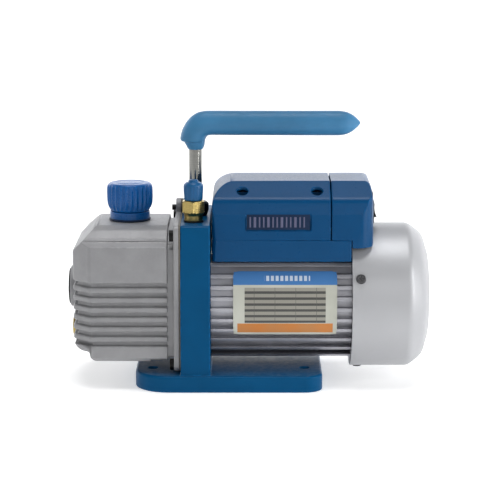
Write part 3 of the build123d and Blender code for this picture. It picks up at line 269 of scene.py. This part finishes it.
LOOKS = {
    "blue_paint": enamel("blue_enamel", ENAMEL_BLUE),
    "tank_casting": cast_alloy("tank_alloy", srgb(147, 147, 149), 0.25, 0.5),
    "motor_casting": cast_alloy("motor_alloy", srgb(176, 176, 182), 0.55, 0.42),
    "machined_alloy": turned("machined_alloy", srgb(190, 190, 192), 0.35, "X"),
    "cover_sheet": satin_paint("silver_paint", srgb(176, 177, 180), 0.3, 0.44),
    "blue_plastic": moulded("cap_plastic", CAP_BLUE, 0.3, 0.00003, 0.35),
    "box_plastic": moulded("box_plastic", BOX_BLUE, 0.32, specular=0.16),
    "grip_rubber": soft_rubber("grip_rubber", GRIP_BLUE),
    "chromed_steel": turned("chrome_plate", srgb(138, 138, 134), 0.12, "Z", 0.1),
    "black_oxide": turned("black_oxide", srgb(38, 38, 38), 0.42, "ALL"),
    "bright_steel": turned("bright_steel", srgb(178, 178, 180), 0.3, "X"),
    "bearing_steel": turned("bearing_steel", srgb(205, 205, 206), 0.15, "X"),
    "spring_steel": turned("spring_steel", srgb(160, 162, 166), 0.3, "ALL"),
    "cast_iron": cast_alloy("machined_iron", srgb(116, 116, 118), 0.8, 0.42, 0.00005),
    "brass": turned("brass", srgb(176, 156, 98), 0.3, "Z", 0.2),
    "copper": wound_copper("copper_wire"),
    "electrical_steel": laminated("laminations", srgb(128, 132, 140)),
    "black_rubber": soft_rubber("black_rubber", srgb(28, 28, 28), 0.7),
    "fibre_gasket": felt("gasket_fibre", srgb(110, 104, 92)),
    "black_plastic": moulded("black_plastic", srgb(26, 26, 28), 0.4),
    "white_plastic": moulded("white_plastic", srgb(222, 220, 212), 0.45),
    "vane_composite": moulded("vane_composite", srgb(92, 70, 44), 0.55, 0.00012),
    "sight_window": window_glass("sight_window"),
    "filter_felt": felt("filter_pad", srgb(196, 190, 176)),
}


def printed_plate(name, low, high):
    """Printed foil plate: blue header with dashes, cream sides, ruled rows and an orange foot."""
    s = Surface(name, srgb(187, 189, 177), 0.4, 0.2)
    split = s.node("ShaderNodeSeparateXYZ")
    s.link(s.place, split.inputs["Vector"])
    x, z = split.outputs["X"], split.outputs["Z"]
    length, height = high.x - low.x, high.z - low.z
    across = s.ramp(x, low.x, high.x)
    up = s.ramp(z, low.z, high.z)

    def between(value, start, end):
        return s.maths("MULTIPLY", s.maths("GREATER_THAN", value, start), s.maths("LESS_THAN", value, end))

    colour = s.mix_colour(s.ramp(s.noise(30), 0.3, 0.7), srgb(178, 180, 168), srgb(200, 201, 190))
    table = s.maths("MULTIPLY", between(across, 0.11, 0.89), between(up, 0.20, 0.76))
    rows = s.maths("FRACT", s.maths("MULTIPLY", s.maths("SUBTRACT", up, 0.20), 6 / 0.56), 0.0)
    panel = s.mix_colour(s.maths("LESS_THAN", rows, 0.42), srgb(150, 148, 138), srgb(74, 74, 72))
    column = s.maths("FRACT", s.maths("MULTIPLY", across, 5.0), 0.0)
    panel = s.mix_colour(s.maths("LESS_THAN", column, 0.02), panel, srgb(90, 90, 88))
    colour = s.mix_colour(table, colour, panel)
    foot = between(up, 0.035, 0.19)
    amber = s.mix_colour(s.ramp(s.noise(60), 0.3, 0.7), srgb(200, 122, 52), srgb(190, 128, 70))
    colour = s.mix_colour(s.maths("MULTIPLY", foot, between(across, 0.04, 0.96)), colour, amber)
    header = s.maths("GREATER_THAN", up, 0.80)
    dash = s.maths("LESS_THAN", s.maths("FRACT", s.maths("MULTIPLY", across, 22.0), 0.0), 0.62)
    strip = s.maths("MULTIPLY", between(up, 0.86, 0.935), between(across, 0.30, 0.74))
    blue = s.mix_colour(s.maths("MULTIPLY", dash, strip), srgb(62, 118, 178), srgb(196, 208, 222))
    colour = s.mix_colour(header, colour, blue)
    s.colour_from(colour)
    s.bump(s.noise(700, 2.0), 0.00003, 0.3)
    return s.material


FLARE_CAP = moulded("flare_cap_plastic", FLARE_BLUE, 0.34, 0.00003, 0.3)
COWL_STEEL = turned("cowl_screw_steel", srgb(92, 92, 94), 0.35, "ALL")
# The lid screws are blue enamel like the lid; their darker navy is painted shade of the recesses they sit
# in.
LID_SCREW_SHADED = enamel("lid_screw_shaded_enamel", srgb(6, 50, 88))
# Painted shade: dark blue for the ring round the foot of the neck collar, standing for the shade where the
# collar meets the tank top.
NECK_PAINTED_SHADE = soft_rubber("neck_painted_shade", srgb(8, 36, 70), 0.6)
INSERT_DARK = moulded("insert_plastic", srgb(30, 46, 72), 0.5)
INSERT_LIGHT = moulded("insert_ink", srgb(98, 100, 126), 0.5)

LOOKS["plate_print"] = printed_plate("plate_print", *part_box("rating_plate"))

SLOT_OF = {part["node"]: part["material_slot"] for part in frame["record"]["subparts"]}


def dress(obj, material):
    """Puts one material on every slot of an object."""
    if not obj.data.materials:
        obj.data.materials.append(material)
    for slot in obj.material_slots:
        slot.link = "OBJECT"
        slot.material = material


for node, obj in NODES.items():
    dress(obj, LOOKS[SLOT_OF[node]])


# ---------------------------------------------------------------- mesh building
BODY_OF = {node: body for body, nodes in frame["record"]["behaviour"]["bodies"].items() for node in nodes}


def new_piece(name, mesh, *nodes, slot=None, body=None, smooth=35, look=None):
    """Makes the object for a mesh, in place of the CAD nodes it stands for."""
    data = bpy.data.meshes.new(name)
    mesh.to_mesh(data)
    mesh.free()
    piece = bpy.data.objects.new(name, data)
    bpy.context.scene.collection.objects.link(piece)
    for polygon in data.polygons:
        polygon.use_smooth = True
    data.set_sharp_from_angle(angle=radians(smooth))
    slot = slot or SLOT_OF[nodes[0]]
    data.materials.append(look or LOOKS[slot])
    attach(piece, body or BODY_OF[nodes[0]])
    if nodes:
        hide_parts(*nodes)
    return piece


def ring_loft(mesh, rings):
    """Skins rings of points, all with the same count, and closes both ends."""
    loops = [[mesh.verts.new(point) for point in ring] for ring in rings]
    count = len(loops[0])
    for lower, upper in zip(loops, loops[1:]):
        for k in range(count):
            mesh.faces.new((lower[k], lower[(k + 1) % count], upper[(k + 1) % count], upper[k]))
    mesh.faces.new(list(reversed(loops[0])))
    mesh.faces.new(loops[-1])


def lathe(mesh, profile, centre, count, radius_at=None):
    """Turns (radius, height) points in mm round the upright axis through centre."""
    rings = []
    for radius, height in profile:
        ring = []
        for k in range(count):
            turn = 2 * pi * k / count
            r = radius_at(radius, height, turn) if radius_at else radius
            ring.append(Vector(centre) + Vector((r * cos(turn), r * sin(turn), height)) * MM)
        rings.append(ring)
    ring_loft(mesh, rings)


ROUNDED_ANGLE = 30  # degrees between two faces, above which their edge is rounded


def softened(name, node, width, extra=(), look=None, sharp=None):
    """The CAD node with its edges rounded, save those that sharp picks.

    Every round carries the rub attribute for edge wear.
    """
    mesh = bmesh.new()
    mesh.from_mesh(NODES[node].data)
    bmesh.ops.remove_doubles(mesh, verts=mesh.verts, dist=2e-6)
    bmesh.ops.dissolve_limit(mesh, angle_limit=radians(0.6), verts=mesh.verts, edges=mesh.edges)
    mark = mesh.verts.layers.float.new("rub")
    for chosen_width, chooser in (*extra, (width, None)):
        edges = [e for e in mesh.edges if len(e.link_faces) == 2
                 and e.calc_face_angle(0) > radians(ROUNDED_ANGLE)
                 and (chooser is None or chooser(e)) and not (sharp and sharp(e))]
        made = bmesh.ops.bevel(mesh, geom=edges, offset=chosen_width * MM, segments=2, profile=0.5,
                               affect="EDGES", clamp_overlap=False, loop_slide=True)
        rounds = set(made["faces"])
        for v in made["verts"]:
            if v.is_valid and all(f in rounds for f in v.link_faces):
                v[mark] = 1.0
    bmesh.ops.recalc_face_normals(mesh, faces=mesh.faces)
    piece = new_piece(name, mesh, node, smooth=60, look=look)
    weighted = piece.modifiers.new("weighted", "WEIGHTED_NORMAL")
    weighted.keep_sharp = True
    weighted.weight = 60
    return piece


# ---------------------------------------------------------------- castings and covers
def level_edge(low, high):
    """Chooses level edges whose height lies between two limits in mm."""
    def chooser(edge):
        a, b = (v.co.z / MM for v in edge.verts)
        return abs(a - b) < 0.01 and low < a < high
    return chooser


def fin_rim(edge):
    """Level edges of the tank fins on their outer face."""
    a, b = (v.co for v in edge.verts)
    outer = all(abs(p.y) > 0.0477 or p.x < -0.1145 or (-p.x + abs(p.y)) > 0.1505 for p in (a, b))
    return level_edge(30.0, 83.0)(edge) and outer and max(a.x, b.x) < -0.0448


def low_tank_corner(edge):
    """Short crossing edges where the lowest fin meets the chamfered tank floor."""
    return all(v.co.x < -0.1005 and 0.0235 < v.co.z < 0.0335 for v in edge.verts)


def box_corner(edge):
    """Edges at the two left corners where lid and saddle box meet."""
    return all(v.co.x < -0.0065 and 0.1085 < v.co.z < 0.124 and abs(v.co.y) > 0.035 for v in edge.verts)


softened("tank_casting", "oil_tank", 0.7, extra=((1.15, fin_rim),), sharp=low_tank_corner)
softened("base_casting", "base_frame", 1.0)
softened("saddle_box", "terminal_box", 0.8, sharp=box_corner)
softened("box_lid", "terminal_box_cover", 0.8, sharp=box_corner)
softened("switch_lid", "switch_cover", 0.8)
softened("motor_casting", "motor_housing", 0.45)
softened("fan_cowl", "fan_cover", 0.5)
softened("end_shield", "rear_shield", 0.4)
softened("switch_body", "power_switch", 0.4)
softened("rocker", "switch_rocker", 0.4)
softened("inlet_body", "mains_inlet", 0.4)
softened("neck_ring", "exhaust_neck", 0.5)
softened("rod_nut", "handle_nut", 0.3)
softened("flange_screws", "tank_screws", 0.25)
# Lid screws in a navy darker than the lid: painted shade of their recesses.
softened("lid_screws", "box_screws", 0.25, look=LID_SCREW_SHADED)
softened("cowl_screws", "fan_cover_screws", 0.25, look=COWL_STEEL)
softened("drain_screw", "drain_plug", 0.3)
softened("glass_bezel", "sight_glass_ring", 0.4)


# ---------------------------------------------------------------- lid insert
def slab(mesh, low, high, corner):
    """Upright plate facing -Y with bevelled rim."""
    made = bmesh.ops.create_cube(mesh, size=1.0)["verts"]
    low, high = Vector(low), Vector(high)
    for v in made:
        v.co = Vector(((low[k] + high[k]) / 2 + v.co[k] * (high[k] - low[k])) * MM for k in range(3))
    edges = list(dict.fromkeys(e for v in made for e in v.link_edges
                               if all(abs(w.co.y - low.y * MM) < 1e-6 for w in e.verts)))
    bmesh.ops.bevel(mesh, geom=edges, offset=corner * MM, segments=2, profile=0.5, affect="EDGES")


def make_insert():
    plate = bmesh.new()
    slab(plate, (13.6, -43.55, 120.1), (60.4, -43.15, 131.4), 0.15)
    new_piece("lid_insert", plate, slot="box_plastic", body="pump_body", smooth=30, look=INSERT_DARK)
    bars = bmesh.new()
    x = 15.6
    for k in range(13):
        wide = (1.1, 1.9, 1.1)[k % 3]
        slab(bars, (x, -43.85, 121.9), (x + wide, -43.5, 129.6), 0.12)
        x += wide + 1.95
    new_piece("insert_bars", bars, slot="box_plastic", body="pump_body", smooth=30, look=INSERT_LIGHT)


# ---------------------------------------------------------------- filler cap
def make_filler_cap():
    low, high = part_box("exhaust_cap")
    centre = ((low.x + high.x) / 2, (low.y + high.y) / 2, 0)
    top, ribs = high.z / MM, 26
    outside = [(13.2, 127.8), (14.3, 127.9), (14.9, 128.6), (15.4, 129.6), (16.2, 131.0), (16.9, 133.0),
               (17.2, 135.5), (17.3, 138.5), (17.3, 142.0), (17.2, 145.0), (16.9, 146.6), (16.2, 147.9),
               (15.0, 148.7), (13.4, top - 0.02), (11.0, top), (10.6, top - 0.25), (10.2, top - 0.25),
               (9.8, top), (4.0, top), (0.4, top)]
    inside = [(0.4, 142.8), (12.9, 142.8), (13.2, 142.0), (13.2, 127.8)]

    def ribbed(radius, height, turn):
        if radius < 15.2:
            return radius
        strength = min(1.0, (height - 128.6) / 2.0, max(0.0, (147.9 - height) / 1.6))
        wave = 0.5 - 0.5 * cos(turn * ribs)
        return radius - 1.15 * max(0.0, strength) * wave ** 0.9

    mesh = bmesh.new()
    lathe(mesh, outside + inside, centre, ribs * 12, ribbed)
    bmesh.ops.recalc_face_normals(mesh, faces=mesh.faces)
    new_piece("filler_cap", mesh, "exhaust_cap", smooth=50)


# Painted shade: a thin dark blue ring round the foot of the neck collar, put where the collar meets the
# tank top and only shade falls.
def make_neck_shade_ring():
    low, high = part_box("exhaust_neck")
    centre = ((low.x + high.x) / 2, (low.y + high.y) / 2, 0)
    mesh = bmesh.new()
    profile = [(12.0, 120.55), (15.0, 120.55), (15.6, 120.9), (15.8, 121.5),
               (15.5, 122.1), (14.6, 122.4), (12.0, 122.4)]
    lathe(mesh, profile, centre, 96)
    bmesh.ops.recalc_face_normals(mesh, faces=mesh.faces)
    new_piece("neck_shade_ring", mesh, slot="black_rubber", body="pump_body", look=NECK_PAINTED_SHADE)


# ---------------------------------------------------------------- intake fitting and its cap
def hexagon(radius, flats, turn):
    """Radius of a hexagon across its corners, cut to a circle."""
    angle = (turn + pi / 6) % (pi / 3) - pi / 6
    return min(radius, flats / cos(angle))


def make_intake_fitting():
    low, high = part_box("intake_fitting")
    centre = ((low.x + high.x) / 2, (low.y + high.y) / 2, 0)
    flats = 9.2 * cos(pi / 6)
    profile = [(2.6, 112.0), (6.4, 112.0), (6.4, 125.0), (6.9, 125.3), (7.0, 126.0),
               (7.0, 128.4), (7.3, 129.6), (8.0, 130.9), (8.3, 131.2), (9.2, 131.7),
               (9.2, 139.2), (8.7, 139.7), (8.0, 140.0), (5.9, 140.1)]
    crest, root, z = 5.4, 4.95, 140.5
    while z < 149.6:
        profile += [(root, z), (crest, z + 0.42), (crest, z + 0.62), (root, z + 1.04)]
        z += 1.27
    profile += [(5.2, 150.0), (3.6, 151.0), (2.6, 151.0)]

    def shape(radius, height, turn):
        return hexagon(radius, flats, turn) if 131.3 < height < 139.9 and radius > 8.1 else radius

    mesh = bmesh.new()
    lathe(mesh, profile + [(2.6, 112.0)], centre, 96, shape)
    bmesh.ops.remove_doubles(mesh, verts=mesh.verts, dist=1e-7)
    bmesh.ops.recalc_face_normals(mesh, faces=mesh.faces)
    new_piece("flare_fitting", mesh, "intake_fitting", smooth=28)


def make_intake_cap():
    low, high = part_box("intake_cap")
    centre = ((low.x + high.x) / 2, (low.y + high.y) / 2, 0)
    grooves = 16
    profile = [(5.95, 140.3), (6.5, 140.3), (6.75, 140.6), (6.85, 141.4), (7.2, 147.0),
               (7.3, 150.6), (7.2, 151.5), (6.8, 152.3), (6.0, 153.1), (5.2, 153.6),
               (3.9, 153.8), (3.7, 154.0), (3.65, 154.9), (3.3, 155.4), (2.6, 155.5),
               (0.3, 155.5), (0.3, 152.2), (5.95, 152.2)]

    def grooved(radius, height, turn):
        if radius < 6.7 or not 141.2 < height < 151.6:
            return radius
        wave = max(0.0, cos(turn * grooves)) ** 6
        return radius - 0.28 * wave

    mesh = bmesh.new()
    lathe(mesh, profile + [(5.95, 140.3)], centre, grooves * 12, grooved)
    bmesh.ops.remove_doubles(mesh, verts=mesh.verts, dist=1e-7)
    bmesh.ops.recalc_face_normals(mesh, faces=mesh.faces)
    new_piece("flare_cap", mesh, "intake_cap", smooth=50, look=FLARE_CAP)


# ---------------------------------------------------------------- handle
GRIP_SECTIONS = (
    # outer point, inner point in the XZ plane, half width across; all in mm
    ((-30.2, 174.3), (-20.1, 174.3), 5.1), ((-30.9, 175.0), (-19.4, 175.0), 5.9),
    ((-31.9, 177.0), (-18.5, 177.3), 6.8), ((-33.4, 179.6), (-18.1, 179.6), 7.7),
    ((-33.9, 180.2), (-18.0, 180.2), 8.0), ((-35.5, 180.6), (-17.9, 180.8), 9.0),
    ((-36.2, 181.5), (-17.8, 181.6), 9.5), ((-36.3, 183.2), (-17.2, 183.0), 9.7),
    ((-35.5, 187.0), (-16.4, 184.2), 9.9), ((-33.9, 191.0), (-15.3, 184.8), 9.9),
    ((-31.3, 195.3), (-14.0, 185.0), 9.8), ((-28.0, 198.9), (-12.6, 185.1), 9.7),
    ((-23.9, 201.6), (-10.9, 185.1), 9.6), ((-19.0, 203.0), (-8.6, 185.1), 9.5),
    ((-12.0, 203.3), (-5.5, 185.1), 9.4), ((0.0, 203.25), (0.0, 185.0), 9.3),
    ((30.0, 203.2), (30.0, 184.9), 9.25), ((60.0, 203.2), (60.0, 184.8), 9.25),
    ((80.0, 203.2), (80.0, 184.8), 9.2), ((85.0, 203.0), (85.0, 185.0), 9.0),
    ((89.0, 202.2), (89.0, 185.9), 8.2), ((92.5, 200.6), (92.5, 187.6), 6.6),
    ((95.4, 198.5), (95.4, 189.8), 4.5), ((97.6, 196.4), (97.6, 192.0), 2.3),
    ((98.9, 194.8), (98.9, 193.6), 0.7))


def spline(values, t):
    """Catmull-Rom value through evenly spaced ones."""
    k = min(int(t), len(values) - 2)
    t -= k
    a, b, c, d = (values[max(0, min(len(values) - 1, k + j))] for j in (-1, 0, 1, 2))
    return 0.5 * (2 * b + (c - a) * t + (2 * a - 5 * b + 4 * c - d) * t * t
                  + (3 * b - a - 3 * c + d) * t ** 3)


def make_grip():
    low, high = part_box("handle_grip")
    columns = list(zip(*((*outer, *inner, half) for outer, inner, half in GRIP_SECTIONS)))
    steps, count = 8, 48
    rings = []
    for k in range((len(GRIP_SECTIONS) - 1) * steps + 1):
        ox, oz, ix, iz, half = (spline(values, k / steps) for values in columns)
        middle, reach = Vector((ox + ix, 0, oz + iz)) / 2, Vector((ox - ix, 0, oz - iz)) / 2
        ring = []
        for j in range(count):
            turn = 2 * pi * j / count
            seam = 1 + 0.012 * max(0.0, abs(cos(turn)) - 0.994) / 0.006
            point = middle + reach * cos(turn) * seam + Vector((0, half * sin(turn), 0))
            point.z = min(point.z, high.z / MM)
            ring.append(point * MM)
        rings.append(ring)
    mesh = bmesh.new()
    ring_loft(mesh, rings)
    bmesh.ops.recalc_face_normals(mesh, faces=mesh.faces)
    new_piece("grip_sleeve", mesh, "handle_grip", smooth=60)


# ---------------------------------------------------------------- rating plate
PLATE_RADIUS = 0.0485
SHAFT_HEIGHT = 0.063


def make_plate():
    """Foil bent round the motor, with clipped corners."""
    low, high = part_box("rating_plate")
    mesh = bmesh.new()
    columns_at = [low.x + (high.x - low.x) * k / 40 for k in range(41)]
    rows_at = [low.z + (high.z - low.z) * k / 30 for k in range(31)]
    layers = []
    corner = 0.0025
    for inset in (0.0, 0.0005):
        layer = []
        for z in rows_at:
            row = []
            for x in columns_at:
                dx = min(x - low.x, high.x - x)
                dz = min(z - low.z, high.z - z)
                px, pz = x, z
                if dx < corner and dz < corner:
                    px += (1 if x - low.x < corner else -1) * (corner - dx) * 0.18
                    pz += (1 if z - low.z < corner else -1) * (corner - dz) * 0.18
                reach = PLATE_RADIUS - inset
                row.append(mesh.verts.new((px, -sqrt(reach ** 2 - (pz - SHAFT_HEIGHT) ** 2), pz)))
            layer.append(row)
        layers.append(layer)
    for layer in layers:
        for lower, upper in zip(layer, layer[1:]):
            for k in range(40):
                mesh.faces.new((lower[k], lower[k + 1], upper[k + 1], upper[k]))
    front, back = layers
    rim = (([row[0] for row in front], [row[0] for row in back]),
           ([row[-1] for row in front], [row[-1] for row in back]),
           (front[0], back[0]), (front[-1], back[-1]))
    for a, b in rim:
        for k in range(len(a) - 1):
            mesh.faces.new((a[k], a[k + 1], b[k + 1], b[k]))
    bmesh.ops.recalc_face_normals(mesh, faces=mesh.faces)
    new_piece("plate_foil", mesh, "rating_plate")


make_insert()
make_filler_cap()
make_neck_shade_ring()
make_intake_fitting()
make_intake_cap()
make_grip()
make_plate()


# ---------------------------------------------------------------- stage, lights and camera
CAMERA_DISTANCE = 1.5
CAMERA_HEIGHT = 0.377
CAMERA_SIDE = 0.016
CAMERA_PITCH = radians(10.58)
CAMERA_LENS = 144.3


def make_camera():
    data = bpy.data.cameras.new("camera")
    data.lens = CAMERA_LENS
    data.sensor_width = 36
    data.clip_end = 60
    camera = bpy.data.objects.new("camera", data)
    camera.location = (CAMERA_SIDE, -CAMERA_DISTANCE, CAMERA_HEIGHT)
    camera.rotation_euler = (pi / 2 - CAMERA_PITCH, 0, 0)
    bpy.context.scene.collection.objects.link(camera)
    bpy.context.scene.camera = camera


def make_floor():
    mesh = bpy.data.meshes.new("floor")
    floor = bpy.data.objects.new("floor", mesh)
    bpy.context.scene.collection.objects.link(floor)
    plan = bmesh.new()
    bmesh.ops.create_grid(plan, x_segments=8, y_segments=8, size=15)
    plan.to_mesh(mesh)
    plan.free()
    s = Surface("floor", (0.8, 0.8, 0.8, 1.0), 0.7, Emission_Color=(1.0, 1.0, 1.0, 1.0),
                Emission_Strength=0.42, Specular_IOR_Level=0.1)
    s.colour_from(mottled(s, 2.0, 0.995, 1.005))
    mesh.materials.append(s.material)


def area_light(name, place, target, size, power, spread=180):
    data = bpy.data.lights.new(name, "AREA")
    data.shape = "RECTANGLE"
    data.size, data.size_y = size
    data.energy = power
    data.spread = radians(spread)
    light = bpy.data.objects.new(name, data)
    light.location = place
    aim = Vector(target) - Vector(place)
    light.rotation_euler = aim.to_track_quat("-Z", "Y").to_euler()
    bpy.context.scene.collection.objects.link(light)


def make_world():
    """Dim room with a bright low backdrop behind the object."""
    world = bpy.data.worlds.new("studio")
    world.use_nodes = True
    tree = world.node_tree
    background = tree.nodes["Background"]
    background.inputs["Color"].default_value = (0.97, 0.98, 1.0, 1.0)
    place = tree.nodes.new("ShaderNodeTexCoord")
    split = tree.nodes.new("ShaderNodeSeparateXYZ")
    tree.links.new(place.outputs["Generated"], split.inputs["Vector"])
    parts = []
    for axis, low, high, start, end in (("Y", -0.1, 0.45, 0.0, 1.0), ("Z", 0.35, 0.7, 1.0, 0.0)):
        ramp = tree.nodes.new("ShaderNodeMapRange")
        ramp.interpolation_type = "SMOOTHSTEP"
        for name, value in (("From Min", low), ("From Max", high), ("To Min", start), ("To Max", end)):
            ramp.inputs[name].default_value = value
        tree.links.new(split.outputs[axis], ramp.inputs["Value"])
        parts.append(ramp.outputs["Result"])
    both = tree.nodes.new("ShaderNodeMath")
    both.operation = "MULTIPLY"
    strength = tree.nodes.new("ShaderNodeMath")
    strength.operation = "MULTIPLY_ADD"
    strength.inputs[1].default_value = 1.9
    strength.inputs[2].default_value = 0.16
    tree.links.new(parts[0], both.inputs[0])
    tree.links.new(parts[1], both.inputs[1])
    tree.links.new(both.outputs[0], strength.inputs[0])
    tree.links.new(strength.outputs[0], background.inputs["Strength"])
    bpy.context.scene.world = world


def make_lights():
    area_light("overhead_bank", (0.0, 2.2, 2.6), (0.0, 2.2, 0.0), (6.0, 5.6), 56, 40)
    area_light("right_strip", (0.75, -0.35, 0.3), (0.14, 0.0, 0.07), (0.16, 0.5), 3.2)
    area_light("left_panel", (-1.0, -0.6, 0.5), (-0.05, 0.0, 0.08), (0.5, 0.7), 1.2)
    area_light("key_front", (0.3, -1.8, 0.8), (0.02, 0.0, 0.08), (0.9, 0.5), 3.9)
    make_world()


make_camera()
make_floor()
make_lights()
bpy.context.scene.view_settings.view_transform = "Standard"
